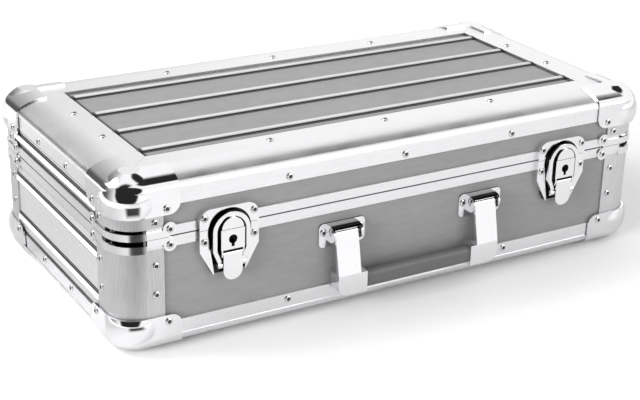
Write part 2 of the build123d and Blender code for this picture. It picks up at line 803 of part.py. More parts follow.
latch_places = (("left", -latch_at), ("right", latch_at))
latch_base_plate = latch_plate(latch_base_bottom, base_frame_edge, base_frame_bottom)
latch_strike = latch_plate(lid_frame_edge, latch_lid_top, lid_frame_top) + keeper()
lever_pin = bar_x(disc(latch_pin_radius, lever_pivot_out, lever_pivot_height), -lug_half_width, lug_half_width)
link_half = loop_foot_half_width + loop_width
link_pin = bar_x(disc(latch_pin_radius, loop_out, link_height), -link_half, link_half)
latch_rivet_out = latch_sheet + latch_field
latch_rivet_rise = (latch_lid_top - split_height) / 2 + metal


# Drop handle, made about X = 0 and moved to its place
def handle_strap():
    """End strap with a rolled eye, cranked out to a ferrule that holds the grip's end."""
    pivot = (handle_pivot_out, handle_pivot_height)
    front = handle_pivot_out + handle_eye_radius
    strap = polygon((front, handle_pivot_height), (ferrule_front, ferrule_top), (ferrule_front, handle_bottom),
                    (ferrule_back, handle_bottom), (ferrule_back, ferrule_top),
                    (ferrule_front - 2 * strap_metal, ferrule_top + strap_metal),
                    (front - strap_metal, handle_pivot_height))
    body = bar_x(strap, -strap_half_width, strap_half_width)
    body += bar_x(disc(handle_eye_radius, *pivot), -strap_half_width, strap_half_width)
    body -= bar_x(disc(handle_pin_radius + pin_clearance, *pivot), -2 * strap_half_width, 2 * strap_half_width)
    collar = panel_face(ferrule_back, ferrule_front, handle_bottom, ferrule_top)
    body += bar_x(collar, 0, strap_half_width + ferrule_overlap)
    keep = panel_face(-strap_half_width, strap_half_width + ferrule_overlap, handle_bottom,
                      handle_pivot_height + 2 * handle_eye_radius)
    corner = panel_face(-strap_half_width, -strap_half_width + ferrule_corner, handle_bottom,
                        handle_bottom + ferrule_corner)
    corner -= disc(ferrule_corner, -strap_half_width + ferrule_corner, handle_bottom + ferrule_corner)
    body &= front_plate(keep - corner, -ferrule_front, 2 * ferrule_front)
    socket = grip_section(0)
    end = strap_half_width + ferrule_overlap
    return body - bar_x(socket, end - grip_tenon, end)


def grip_section(inset):
    """Rounded section of the grip, drawn as (out of the front, height)."""
    low, high = handle_bottom + grip_inset + inset, ferrule_top - grip_inset - inset
    back, front = ferrule_back + grip_inset + inset, ferrule_front - grip_inset - inset
    centre = Pos((back + front) / 2, (low + high) / 2)
    return centre * RectangleRounded(front - back, high - low, grip_round)


left_strap = Pos(-handle_half_span, 0, 0) * handle_strap()
straps = [Pos(handle_shift, 0, 0) * strap for strap in both_ends(left_strap)]
grip_half = handle_half_span - strap_half_width - ferrule_overlap + grip_tenon
grip = Pos(handle_shift, 0, 0) * bar_x(grip_section(pin_clearance), -grip_half, grip_half)


def hood_section():
    """Section of the bracket's hood, drawn as (out of the front, height)."""
    pivot = (handle_pivot_out, handle_pivot_height)
    outer = CenterArc(pivot, hood_inner_radius + hood_metal, hood_lip_angle, 90 - hood_lip_angle)
    inner = CenterArc(pivot, hood_inner_radius, hood_lip_angle, 90 - hood_lip_angle)
    roof = Polyline(outer @ 1, (-board_out, (outer @ 1).Y), (-board_out, (inner @ 1).Y), inner @ 1)
    return make_face([outer, roof, inner, Line(inner @ 0, outer @ 0)])


def cheek_section():
    """Section of one side wall of the bracket with the pin's hole."""
    pivot = (handle_pivot_out, handle_pivot_height)
    front = CenterArc(pivot, hood_inner_radius + hood_metal, -90, 180)
    back = Polyline(front @ 1, (-board_out, (front @ 1).Y), (-board_out, (front @ 0).Y), front @ 0)
    return make_face([front, back]) - disc(handle_pin_radius, *pivot)


def handle_bracket():
    """Riveted ears with a hood between them that holds the pin and lets the strap swing out."""
    inner_half = hood_half_width - hood_metal
    hood = bar_x(hood_section(), -inner_half, inner_half)
    cheeks = both_sides_bar(cheek_section(), inner_half, hood_half_width)
    corner = hood_ear_corner
    middle = (hood_plate_bottom + hood_plate_top) / 2
    outline = Pos(0, middle) * RectangleRounded(2 * hood_ear_half_width, hood_plate_top - hood_plate_bottom, corner)
    window = panel_face(-inner_half, inner_half, hood_plate_bottom - corner, handle_pivot_height + hood_inner_radius)
    ears = front_plate(outline - window, -board_out, -board_out + hood_metal)
    return ears + cheeks + hood


bracket_places = [handle_shift - handle_half_span, handle_shift + handle_half_span]
handle_pin = bar_x(disc(handle_pin_radius, handle_pivot_out, handle_pivot_height), -hood_half_width, hood_half_width)
bracket_rivet_out = hood_metal - board_out
for x in bracket_places:
    for side in (-hood_rivet_at, hood_rivet_at):
        base_rivets.append(front_rivet(x + side, hood_rivet_height, bracket_rivet_out))
for name, x in latch_places:
    for side in (-latch_rivet_at, latch_rivet_at):
        lid_rivets.append(front_rivet(x + side, split_height + latch_rivet_rise, latch_rivet_out))
        base_rivets.append(front_rivet(x + side, split_height - latch_rivet_rise, latch_rivet_out))
for x in (-hinge_at, hinge_at):
    lid_rivets += [Pos(x, 0, 0) * head for head in hinge_leaf_rivets(split_height + hinge_rivet_drop)]
    base_rivets += [Pos(x, 0, 0) * head for head in hinge_leaf_rivets(split_height - hinge_rivet_drop)]


def write_parts():
    """Writes every sub-part."""
    os.makedirs("parts", exist_ok=True)
    front_base_board = long_board(board_low, base_board_top)
    front_lid_board = long_board(lid_board_bottom, lid_board_top)
    for prefix, front, end in (("base", front_base_board, base_end_board), ("lid", front_lid_board, lid_end_board)):
        save(prefix + "_front_board", front)
        save(prefix + "_back_board", mirror(front, about=Plane.XZ))
        save(prefix + "_left_board", end)
        save(prefix + "_right_board", mirror(end, about=Plane.YZ))
    save("base_floor_board", floor_board)
    save("lid_top_board", top_board)
    for side, shape in (("front", long_edging), ("left", short_edging)):
        other = "back" if side == "front" else "right"
        about = Plane.XZ if side == "front" else Plane.YZ
        save("base_" + side + "_edging", shape)
        save("base_" + other + "_edging", mirror(shape, about=about))
        save("lid_" + side + "_edging", to_lid(shape))
        save("lid_" + other + "_edging", to_lid(mirror(shape, about=about)))
    save("base_corner_posts", *four_corners(base_post))
    save("lid_corner_posts", *four_corners(lid_post))
    save("base_ball_corners", *four_corners(cap))
    save("lid_ball_corners", *four_corners(to_lid(cap)))
    save("base_closing_frame", *frame_ring(base_frame_section()))
    save("lid_closing_frame", *frame_ring(lid_frame_section()))
    save("base_frame_brackets", *four_corners(base_bracket))
    save("lid_frame_brackets", *four_corners(lid_bracket))
    save("base_rivets", *base_rivets)
    save("lid_rivets", *lid_rivets)
    save("base_wall_lining", *base_long_lining, *base_short_lining)
    save("lid_wall_lining", *lid_long_lining, *lid_short_lining)
    save("floor_pad", floor_pad)
    save("lid_pad", lid_pad)
    save("row_dividers", *dividers)
    save("hinge_base_leaves", Pos(-hinge_at, 0, 0) * base_leaf, Pos(hinge_at, 0, 0) * base_leaf)
    save("hinge_lid_leaves", Pos(-hinge_at, 0, 0) * lid_leaf, Pos(hinge_at, 0, 0) * lid_leaf)
    save("hinge_pins", Pos(-hinge_at, 0, 0) * hinge_pin, Pos(hinge_at, 0, 0) * hinge_pin)
    housing = lock_housing()
    lever = latch_lever()
    loop = latch_loop()
    plug = lock_plug()
    for name, x in latch_places:
        place = Pos(x, 0, 0)
        save(name + "_latch_plate", place * latch_base_plate)
        save(name + "_latch_strike", place * latch_strike)
        save(name + "_lock_housing", place * housing)
        save(name + "_lock_plug", place * plug)
        save(name + "_latch_lever", place * lever)
        save(name + "_lever_pin", place * lever_pin)
        save(name + "_latch_loop", place * loop)
        save(name + "_link_pin", place * link_pin)
    save("handle_straps", *straps)
    save("handle_grip", grip)
    save("handle_brackets", *[Pos(x, 0, 0) * handle_bracket() for x in bracket_places])
    save("handle_pins", *[Pos(x, 0, 0) * handle_pin for x in bracket_places])


write_parts()
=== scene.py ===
import math

import bmesh
import bpy
from mathutils import Matrix, Vector, noise


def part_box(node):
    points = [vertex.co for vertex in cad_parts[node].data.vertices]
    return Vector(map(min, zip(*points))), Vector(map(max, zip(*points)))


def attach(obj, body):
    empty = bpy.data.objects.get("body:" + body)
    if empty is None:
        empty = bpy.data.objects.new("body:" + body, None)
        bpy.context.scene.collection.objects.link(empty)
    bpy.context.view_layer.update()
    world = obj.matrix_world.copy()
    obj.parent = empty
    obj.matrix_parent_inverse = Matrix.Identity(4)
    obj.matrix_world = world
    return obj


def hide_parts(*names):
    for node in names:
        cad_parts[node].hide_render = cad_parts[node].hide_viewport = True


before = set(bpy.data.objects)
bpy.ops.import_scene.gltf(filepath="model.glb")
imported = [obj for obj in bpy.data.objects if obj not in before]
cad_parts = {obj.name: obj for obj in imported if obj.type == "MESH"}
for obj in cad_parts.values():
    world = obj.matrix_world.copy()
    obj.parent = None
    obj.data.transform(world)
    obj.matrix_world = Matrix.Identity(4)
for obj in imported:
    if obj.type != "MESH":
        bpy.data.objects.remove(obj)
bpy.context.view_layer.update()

scene = bpy.context.scene
scene.view_settings.view_transform = "Standard"

# Ends of a box, and axes
LOW, HIGH = 0, 1
X, Y, Z = 0, 1, 2

# Forms of the case that its colours follow, in metres
rib_height = 0.002
groove_depth = 0.0012
tongue_height = 0.005
channel_depth = 0.002
channel_radius = 0.0186
channel_centre_height = 0.0923

# How far the painted shade of a joint reaches from its line in metres, and the share of that where it is
# full
seam_reach = 0.0007
housing_foot_reach = 0.0014
lever_head_reach = 0.0024
end_board_reach = 0.0026
top_board_end_reach = 0.0045
top_board_side_reach = 0.005
full_share = 0.6

# Factors on the colour for painted shade where plating and sheet lie in the dark, in joints, the frame
# seam and the latch channel, and for the painted dark reflection on the handle hood's roof
joint_painted_shade = 0.04
seam_painted_shade = 0.12
channel_painted_shade = 0.03
roof_painted_reflection = 0.03

# Factors on the foil's colour up a rib, from the floor of the groove to the crest: painted shade in the
# groove and on the rib's foot and sides, painted highlight on the crest
groove_painted_shade = 0.03
foil_shade = 1.0
rib_foot_painted_shade = 0.02
rib_side_painted_shade = 0.04
crest_edge_painted_highlight = 1.6
crest_painted_highlight = 2.3


# Shader nodes
def feed(tree, socket, value):
    """Gives a socket a plain value, or the output of another node."""
    if isinstance(value, bpy.types.NodeSocket):
        tree.links.new(value, socket)
    else:
        socket.default_value = value


def operation_node(tree, kind, operation, values):
    """Maths node of a kind with its inputs filled in order."""
    node = tree.nodes.new(kind)
    node.operation = operation
    for socket, value in zip(node.inputs, values):
        feed(tree, socket, value)
    return node


def math_node(tree, operation, *values):
    """Result of one operation on numbers."""
    return operation_node(tree, "ShaderNodeMath", operation, values).outputs["Value"]


def vector_node(tree, operation, *values):
    """Result of one operation on vectors, itself a vector."""
    return operation_node(tree, "ShaderNodeVectorMath", operation, values).outputs["Vector"]


def measure_node(tree, operation, *values):
    """Result of one operation on vectors, itself a number."""
    return operation_node(tree, "ShaderNodeVectorMath", operation, values).outputs["Value"]


def least(tree, values):
    """The least of several numbers."""
    result = values[0]
    for value in values[1:]:
        result = math_node(tree, "MINIMUM", result, value)
    return result


def map_range(tree, value, source, target):
    """A number carried from one range to another and held at its ends."""
    node = tree.nodes.new("ShaderNodeMapRange")
    names = ("From Min", "From Max", "To Min", "To Max")
    for name, limit in zip(names, (*source, *target)):
        node.inputs[name].default_value = limit
    tree.links.new(value, node.inputs["Value"])
    return node.outputs["Result"]


def mix_node(tree, kind, factor, first, second, blend="MIX"):
    """Mix of two colours or two numbers."""
    node = tree.nodes.new("ShaderNodeMix")
    node.data_type = kind
    node.blend_type = blend
    feed(tree, node.inputs["Factor"], factor)
    feed(tree, node.inputs["A"], first)
    feed(tree, node.inputs["B"], second)
    return node.outputs["Result"]


def color_ramp(tree, value, stops):
    """Colour that follows a number through stops, each a place and a colour, in rising order."""
    node = tree.nodes.new("ShaderNodeValToRGB")
    elements = node.color_ramp.elements
    for place, _ in stops[1:-1]:
        elements.new(place)
    for element, (place, color) in zip(elements, stops):
        element.position = place
        element.color = (*color, 1)
    tree.links.new(value, node.inputs["Fac"])
    return node.outputs["Color"]


def split_axes(tree, output):
    """X, Y and Z of a point's place on the object or of its normal."""
    coord = tree.nodes.new("ShaderNodeTexCoord")
    split = tree.nodes.new("ShaderNodeSeparateXYZ")
    tree.links.new(coord.outputs[output], split.inputs["Vector"])
    return split.outputs


def shader_input(mat, name):
    """Input of a material's shader."""
    return mat.node_tree.nodes["Principled BSDF"].inputs[name]


# Surface detail
def grey(tone):
    """Linear grey with a trace of blue."""
    blue_gain = 1.015
    return (tone, tone, tone * blue_gain)


def new_material(name, color, metallic, roughness):
    """Principled material with plain values, ready for detail."""
    mat = bpy.data.materials.new(name)
    mat.use_nodes = True
    shader_input(mat, "Base Color").default_value = (*color, 1)
    shader_input(mat, "Metallic").default_value = metallic
    shader_input(mat, "Roughness").default_value = roughness
    return mat


def noise_pattern(mat, scale, detail, stretch=(1, 1, 1)):
    """Noise in the object's own metres, stretched along an axis for brushed or rolled sheet."""
    tree = mat.node_tree
    coord = tree.nodes.new("ShaderNodeTexCoord")
    mapping = tree.nodes.new("ShaderNodeMapping")
    mapping.inputs["Scale"].default_value = stretch
    texture = tree.nodes.new("ShaderNodeTexNoise")
    texture.inputs["Scale"].default_value = scale
    texture.inputs["Detail"].default_value = detail
    tree.links.new(coord.outputs["Object"], mapping.inputs["Vector"])
    tree.links.new(mapping.outputs["Vector"], texture.inputs["Vector"])
    return texture.outputs["Fac"]


def vary_color(mat, pattern, low, high):
    """Base colour that drifts between two close tones over the middle of a pattern."""
    tree = mat.node_tree
    pattern_start, pattern_end = 0.35, 0.65
    drift = color_ramp(tree, pattern, ((pattern_start, grey(low)), (pattern_end, grey(high))))
    tree.links.new(drift, shader_input(mat, "Base Color"))


def vary_roughness(mat, pattern, low, high):
    """Roughness that varies over the middle of a pattern."""
    tree = mat.node_tree
    pattern_start, pattern_end = 0.3, 0.7
    drift = map_range(tree, pattern, (pattern_start, pattern_end), (low, high))
    tree.links.new(drift, shader_input(mat, "Roughness"))


def add_bump(mat, pattern, strength, distance):
    """Fine relief from a pattern."""
    tree = mat.node_tree
    node = tree.nodes.new("ShaderNodeBump")
    node.inputs["Strength"].default_value = strength
    node.inputs["Distance"].default_value = distance
    tree.links.new(pattern, node.inputs["Height"])
    tree.links.new(node.outputs["Normal"], shader_input(mat, "Normal"))


def shade_color(mat, factor):
    """Multiplies a material's colour by a factor that varies over the surface."""
    tree = mat.node_tree
    base_color = shader_input(mat, "Base Color")
    plain = base_color.links[0].from_socket
    tree.links.new(mix_node(tree, "RGBA", 1, plain, factor, "MULTIPLY"), base_color)


def darken(mat, value, plain_at, dark_at, shade):
    """Fades a material's colour down to a shade of itself as a value goes from plain_at to dark_at."""
    shade_color(mat, map_range(mat.node_tree, value, (plain_at, dark_at), (1, shade)))


def paint_joint_shade(mat, axis, lines, reach, shade):
    """Painted shade in the narrow joints where other pieces meet or overlap a surface, at places along
    an axis.
    """
    tree = mat.node_tree
    place = split_axes(tree, "Object")[axis]
    offsets = [math_node(tree, "SUBTRACT", place, line) for line in lines]
    distances = [math_node(tree, "ABSOLUTE", offset) for offset in offsets]
    darken(mat, least(tree, distances), reach, reach * full_share, shade)


# Materials
def board_material(name, tone):
    """Grey foil on thin board with a faint rolled grain."""
    contrast = 0.04
    mat = new_material(name, grey(tone), metallic=0.0, roughness=0.42)
    grain = noise_pattern(mat, scale=220, detail=4, stretch=(0.35, 0.35, 1.5))
    vary_color(mat, grain, low=tone * (1 - contrast), high=tone * (1 + contrast))
    cloud = noise_pattern(mat, scale=9, detail=2)
    vary_roughness(mat, cloud, low=0.4, high=0.5)
    pitting = noise_pattern(mat, scale=1400, detail=2)
    add_bump(mat, pitting, strength=0.1, distance=0.0002)
    return mat


def ribbed_board_material(name, tone, axis, outward, crest):
    """Board foil with a painted highlight on the rib crests and painted shade down in their grooves and
    on the rib sides.
    """
    mat = board_material(name, tone)
    tree = mat.node_tree
    relief = rib_height + groove_depth
    place = math_node(tree, "MULTIPLY", split_axes(tree, "Object")[axis], outward)
    height = map_range(tree, place, (outward * crest - relief, outward * crest), (0, 1))
    face = groove_depth / relief
    groove_rim, foil_start, foil_end, rib_foot = face - 0.06, face - 0.03, face + 0.02, face + 0.04
    rib_shoulder, crest_edge, crest_middle = 0.72, 0.8, 0.99
    shades = {
        groove_rim: groove_painted_shade,
        foil_start: foil_shade,
        foil_end: foil_shade,
        rib_foot: rib_foot_painted_shade,
        rib_shoulder: rib_side_painted_shade,
        crest_edge: crest_edge_painted_highlight,
        crest_middle: crest_painted_highlight,
    }
    stops = [(level, (shade, shade, shade)) for level, shade in shades.items()]
    # Painted highlight on the crests, painted shade in the grooves and on the rib sides
    shade_color(mat, color_ramp(tree, height, stops))
    return mat


def sheet_material(name, tone, rough, stretch, contrast=0.03):
    """Satin rolled aluminium, its streaks along the strip."""
    brightest = 0.97
    mat = new_material(name, grey(tone), metallic=1.0, roughness=rough)
    streak = noise_pattern(mat, scale=160, detail=4, stretch=stretch)
    vary_color(mat, streak, low=tone - contrast, high=min(tone + contrast, brightest))
    cloud = noise_pattern(mat, scale=26, detail=3)
    vary_roughness(mat, cloud, low=rough * 0.85, high=rough * 1.2)
    add_bump(mat, streak, strength=0.05, distance=0.0002)
    return mat


def plated_material(name, tone, rough):
    """Bright plating with faint polishing haze."""
    contrast = 0.03
    mat = new_material(name, grey(tone), metallic=1.0, roughness=rough)
    haze = noise_pattern(mat, scale=60, detail=4)
    vary_roughness(mat, haze, low=rough * 0.7, high=rough * 1.6)
    vary_color(mat, haze, low=tone - contrast, high=tone)
    wave = noise_pattern(mat, scale=35, detail=1)
    add_bump(mat, wave, strength=0.06, distance=0.0015)
    return mat


def channel_material(name, tone, rough):
    """Plating of a latch plate, with painted shade down in the rounded channel that the loop lies in."""
    mat = plated_material(name, tone, rough)
    tree = mat.node_tree
    place = split_axes(tree, "Object")
    low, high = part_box("left_latch_plate")
    dark_depth, plain_depth = channel_depth * 0.75, channel_depth * 0.25
    depth_range = (low[Y] + dark_depth, low[Y] + plain_depth)
    depth = map_range(tree, place[Y], depth_range, (channel_painted_shade, 1))
    latch_offset = -(low[X] + high[X]) / 2
    across = math_node(tree, "SUBTRACT", math_node(tree, "ABSOLUTE", place[X]), latch_offset)
    above = math_node(tree, "SUBTRACT", place[Z], channel_centre_height)
    above = math_node(tree, "MAXIMUM", above, 0)
    across_square = math_node(tree, "MULTIPLY", across, across)
    above_square = math_node(tree, "MULTIPLY", above, above)
    radius = math_node(tree, "SQRT", math_node(tree, "ADD", across_square, above_square))
    outside = math_node(tree, "GREATER_THAN", radius, channel_radius)
    # Painted shade deep in the channel and inside its radius
    shade_color(mat, math_node(tree, "MAXIMUM", depth, outside))
    return mat


def hood_material(name, tone, rough):
    """Plating with a painted dark reflection on the hood's roof, where the surface looks up."""
    mat = plated_material(name, tone, rough)
    lean = split_axes(mat.node_tree, "Normal")[Z]
    # Painted dark reflection on the faces that look up
    darken(mat, lean, plain_at=0.25, dark_at=0.6, shade=roof_painted_reflection)
    return mat


def foam_material(name, tone):
    """Dark flocked foam."""
    mat = new_material(name, grey(tone), metallic=0.0, roughness=0.95)
    shader_input(mat, "Sheen Weight").default_value = 0.25
    fibre = noise_pattern(mat, scale=900, detail=5)
    vary_color(mat, fibre, low=tone * 0.6, high=tone * 1.5)
    add_bump(mat, fibre, strength=0.5, distance=0.0006)
    return mat


def plug_material(name, tone):
    """Near-black plug with almost no shine, matt down in the key slot."""
    mat = new_material(name, grey(tone), metallic=0.0, roughness=0.8)
    shader_input(mat, "Specular IOR Level").default_value = 0.05
    grain = noise_pattern(mat, scale=700, detail=2)
    vary_color(mat, grain, low=tone * 0.75, high=tone * 1.5)
    return mat


def plastic_material(name, tone):
    """Moulded plastic with a fine grain."""
    mat = new_material(name, grey(tone), metallic=0.0, roughness=0.42)
    grain = noise_pattern(mat, scale=900, detail=3)
    vary_color(mat, grain, low=tone * 0.9, high=tone * 1.1)
    add_bump(mat, grain, strength=0.2, distance=0.0003)
    return mat


# Boards
board_tone = 0.225
# The end boards have the same foil as the others; their lighter tone is painted light
end_board_painted_light_tone = 0.27
board = board_material("board_foil", board_tone)
top_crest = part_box("lid_top_board")[HIGH][Z]
left_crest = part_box("base_left_board")[LOW][X]
right_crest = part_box("base_right_board")[HIGH][X]
top_board = ribbed_board_material("top_board_foil", board_tone, Z, 1, top_crest)
left_board = ribbed_board_material("left_board_foil", end_board_painted_light_tone, X, -1, left_crest)
right_board = ribbed_board_material("right_board_foil", end_board_painted_light_tone, X, 1, right_crest)

top_end_joints = (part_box("lid_left_edging")[HIGH][X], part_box("lid_right_edging")[LOW][X])
top_side_joints = (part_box("lid_front_edging")[HIGH][Y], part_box("lid_back_edging")[LOW][Y])
end_joints = (
    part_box("base_left_edging")[HIGH][Z],
    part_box("base_closing_frame")[LOW][Z],
    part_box("lid_closing_frame")[HIGH][Z],
    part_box("lid_left_edging")[LOW][Z],
)
# Painted shade along the boards where the edgings and closing frames meet or overlap them
paint_joint_shade(top_board, X, top_end_joints, top_board_end_reach, joint_painted_shade)
paint_joint_shade(top_board, Y, top_side_joints, top_board_side_reach, joint_painted_shade)
for end_board in (left_board, right_board):
    paint_joint_shade(end_board, Z, end_joints, end_board_reach, joint_painted_shade)

# Rolled sheet
edging_x = sheet_material("edging_along", tone=0.9, rough=0.3, stretch=(0.4, 12, 12))
edging_y = sheet_material("edging_across", tone=0.9, rough=0.3, stretch=(12, 0.4, 12))
post_metal = sheet_material("post_sheet", tone=0.68, rough=0.55, stretch=(14, 14, 0.5), contrast=0.06)
frame_metal = sheet_material("frame_sheet", tone=0.86, rough=0.3, stretch=(1, 1, 14))
strap_metal = sheet_material("strap_sheet", tone=0.92, rough=0.2, stretch=(10, 10, 0.8))
pin_steel = sheet_material("pin_steel", tone=0.6, rough=0.3, stretch=(1, 12, 12))
hinge_metal = sheet_material("hinge_sheet", tone=0.7, rough=0.28, stretch=(1, 6, 6))
base_rail_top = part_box("base_closing_frame")[HIGH][Z] - tongue_height
parting_height = (base_rail_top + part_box("lid_closing_frame")[LOW][Z]) / 2
# Painted shade in the parting seam between the lid and base closing frames
paint_joint_shade(frame_metal, Z, (parting_height,), seam_reach, seam_painted_shade)

# Plating
latch_finish = {"tone": 0.9, "rough": 0.1}
bracket_finish = {"tone": 0.88, "rough": 0.14}
corner_chrome = plated_material("corner_plating", tone=0.93, rough=0.06)
latch_chrome = plated_material("latch_plating", **latch_finish)
latch_channel = channel_material("latch_plate_plating", **latch_finish)
housing_metal = plated_material("housing_plating", **latch_finish)
lever_metal = plated_material("lever_plating", **latch_finish)
bracket_chrome = plated_material("bracket_plating", **bracket_finish)
hood_metal = hood_material("hood_plating", **bracket_finish)
rivet_metal = plated_material("rivet_metal", tone=0.82, rough=0.2)
# Dark plating in the rivets' dimples: painted shade in the mandrel hole
rivet_dimple_painted_shade = plated_material("rivet_dimple", tone=0.12, rough=0.5)
housing_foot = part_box("left_lock_housing")[LOW][Z]
lever_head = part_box("left_latch_lever")[HIGH][Z]
# Painted shade at the foot of the lock housing and the head of the latch lever, where the two meet
paint_joint_shade(housing_metal, Z, (housing_foot,), housing_foot_reach, joint_painted_shade)
paint_joint_shade(lever_metal, Z, (lever_head,), lever_head_reach, joint_painted_shade)

# Plug, foam, felt and plastic
plug_metal = plug_material("plug_dark", tone=0.004)
foam = foam_material("lining_foam", tone=0.02)
felt = foam_material("divider_felt", tone=0.03)
grip_plastic = plastic_material("grip_grey", tone=0.1)

# The first words found in a node's name give its material
materials_by_words = {
    "lid_top_board": top_board,
    "left_board": left_board,
    "right_board": right_board,
    "board": board,
    "left_edging": edging_y,
    "right_edging": edging_y,
    "edging": edging_x,
    "ball_corners": corner_chrome,
    "corner_posts": post_metal,
    "closing_frame": frame_metal,
    "frame_brackets": bracket_chrome,
    "rivets": rivet_metal,
    "lock_plug": plug_metal,
    "_pin": pin_steel,
    "latch_plate": latch_channel,
    "latch_strike": latch_channel,
    "lock_housing": housing_metal,
    "latch_lever": lever_metal,
    "latch_loop": latch_chrome,
    "hinge": hinge_metal,
    "handle_grip": grip_plastic,
    "handle_brackets": hood_metal,
    "handle_straps": strap_metal,
    "row_dividers": felt,
    "pad": foam,
    "wall_lining": foam,
}


def material_for(node):
    """The material of one CAD node."""
    return next(mat for words, mat in materials_by_words.items() if words in node)


for name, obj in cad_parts.items():
    mat = material_for(name)
    if not obj.material_slots:
        obj.data.materials.append(mat)
    for material_slot in obj.material_slots:
        material_slot.material = mat


# Soft edges on the pressed and folded pieces
def soften(node, width):
    """Small rounded edges, made by a modifier."""
    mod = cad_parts[node].modifiers.new("soft_edges", "BEVEL")
    mod.width = width
    mod.segments = 2
    mod.limit_method = "ANGLE"
    mod.angle_limit = math.radians(35)
    mod.use_clamp_overlap = True
    mod.harden_normals = True


plate_edge = 0.0004
lever_edge = 0.0005
bar_edge = 0.0006
for side in ("left", "right"):
    soften(side + "_latch_plate", plate_edge)
    soften(side + "_latch_strike", plate_edge)
    soften(side + "_latch_loop", bar_edge)
    soften(side + "_latch_lever", lever_edge)
    soften(side + "_lock_housing", lever_edge)
soften("handle_straps", bar_edge)
soften("handle_brackets", plate_edge)


# Pieces that stand in for CAD nodes
def link_mesh(name, bm, materials):
    """New object in the scene from a bmesh, with its materials."""
    mesh = bpy.data.meshes.new(name)
    bm.to_mesh(mesh)
    bm.free()
    for mat in materials:
        mesh.materials.append(mat)
    obj = bpy.data.objects.new(name, mesh)
    scene.collection.objects.link(obj)
    return obj


# Rivet heads: each ring is a height and a radius, as shares of the CAD head's
rivet_sides = 20
head_rings = ((0.0, 1.0), (0.3, 0.985), (0.62, 0.86), (0.86, 0.66), (0.97, 0.5))
dimple_rings = ((0.8, 0.42), (0.6, 0.36))
same_place_digits = 6


def islands(obj):
    """Vertex places of each separate solid of a CAD node."""
    mesh = obj.data
    places = [tuple(round(c, same_place_digits) for c in vertex.co) for vertex in mesh.vertices]
    first_at = {}
    for index, place in enumerate(places):
        first_at.setdefault(place, index)
    merged = [first_at[place] for place in places]
    parent = {root: root for root in merged}

    def find(index):
        while parent[index] != index:
            index = parent[index]
        return index

    for polygon in mesh.polygons:
        roots = [find(merged[index]) for index in polygon.vertices]
        for root in roots[1:]:
            parent[find(root)] = find(roots[0])
    found = {}
    for index, place in enumerate(places):
        found.setdefault(find(merged[index]), set()).add(place)
    return [[Vector(place) for place in sorted(group)] for group in found.values()]


def rivet_measures(points):
    """Seat, outward direction, radius and height of one CAD rivet, whose head is wider at its seat."""
    low = Vector([min(point[axis] for point in points) for axis in (X, Y, Z)])
    high = Vector([max(point[axis] for point in points) for axis in (X, Y, Z)])
    size = high - low
    thin = min((X, Y, Z), key=lambda axis: size[axis])
    centre = (low + high) / 2
    spread_low = sum((point - centre).length for point in points if point[thin] < centre[thin])
    spread_high = sum((point - centre).length for point in points if point[thin] > centre[thin])
    sign = 1 if spread_low > spread_high else -1
    outward = Vector([sign if axis == thin else 0 for axis in (X, Y, Z)])
    seat = centre - outward * size[thin] / 2
    return seat, outward, max(size) / 2, size[thin]


def add_dome(bm, place, radius, height):
    """Closed domed head with its mandrel dimple in the second material, a dark plating that is painted
    shade.
    """
    loops = []
    for up, out in head_rings + dimple_rings:
        loop = []
        for step in range(rivet_sides):
            angle = math.tau * step / rivet_sides
            local = Vector((radius * out * math.cos(angle), radius * out * math.sin(angle), height * up))
            loop.append(bm.verts.new(place @ local))
        loops.append(loop)
    first_dimple_band = len(head_rings) - 1
    for band, (lower, upper) in enumerate(zip(loops, loops[1:])):
        for step in range(rivet_sides):
            after = (step + 1) % rivet_sides
            face = bm.faces.new((lower[step], lower[after], upper[after], upper[step]))
            face.material_index = 1 if band >= first_dimple_band else 0
    bm.faces.new(loops[-1]).material_index = 1
    bm.faces.new(list(reversed(loops[0])))


def domed_rivets(node, body):
    """One object with a domed head and its dimple over each rivet of a CAD node."""
    bm = bmesh.new()
    for points in islands(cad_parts[node]):
        seat, outward, radius, height = rivet_measures(points)
        turn = outward.to_track_quat("Z", "Y").to_matrix().to_4x4()
        add_dome(bm, Matrix.Translation(seat) @ turn, radius, height)
    obj = link_mesh(node + "_domes", bm, (rivet_metal, rivet_dimple_painted_shade))
    for polygon in obj.data.polygons:
        polygon.use_smooth = True
    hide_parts(node)
    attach(obj, body)


domed_rivets("base_rivets", "base")
domed_rivets("lid_rivets", "lid")

# Foam lining, in metres
foam_edge = 0.0007
foam_wave_height = 0.00008
foam_waves_per_metre = 30.0
foam_seed = 1
weld_distance = 1e-6
flat_angle = math.radians(1)
quad_corners = 4


def foam_piece(node, body):
    """Foam sheet with soft edges and a slightly uneven face, in the place of a plain solid."""
    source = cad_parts[node]
    bm = bmesh.new()
    bm.from_mesh(source.data)
    bmesh.ops.remove_doubles(bm, verts=bm.verts, dist=weld_distance)
    bmesh.ops.dissolve_limit(bm, angle_limit=flat_angle, verts=bm.verts, edges=bm.edges)
    edges = list(bm.edges)
    bmesh.ops.bevel(bm, geom=edges, offset=foam_edge, segments=2, affect="EDGES", clamp_overlap=True)
    bmesh.ops.triangulate(bm, faces=[face for face in bm.faces if len(face.verts) > quad_corners])
    obj = link_mesh(node + "_foam", bm, (foam,))
    for vertex in obj.data.vertices:
        vertex.co += noise.noise_vector(vertex.co * foam_waves_per_metre) * foam_wave_height
    for polygon in obj.data.polygons:
        polygon.use_smooth = False
    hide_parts(node)
    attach(obj, body)


noise.seed_set(foam_seed)
foam_piece("floor_pad", "base")
foam_piece("base_wall_lining", "base")
foam_piece("lid_pad", "lid")
foam_piece("lid_wall_lining", "lid")

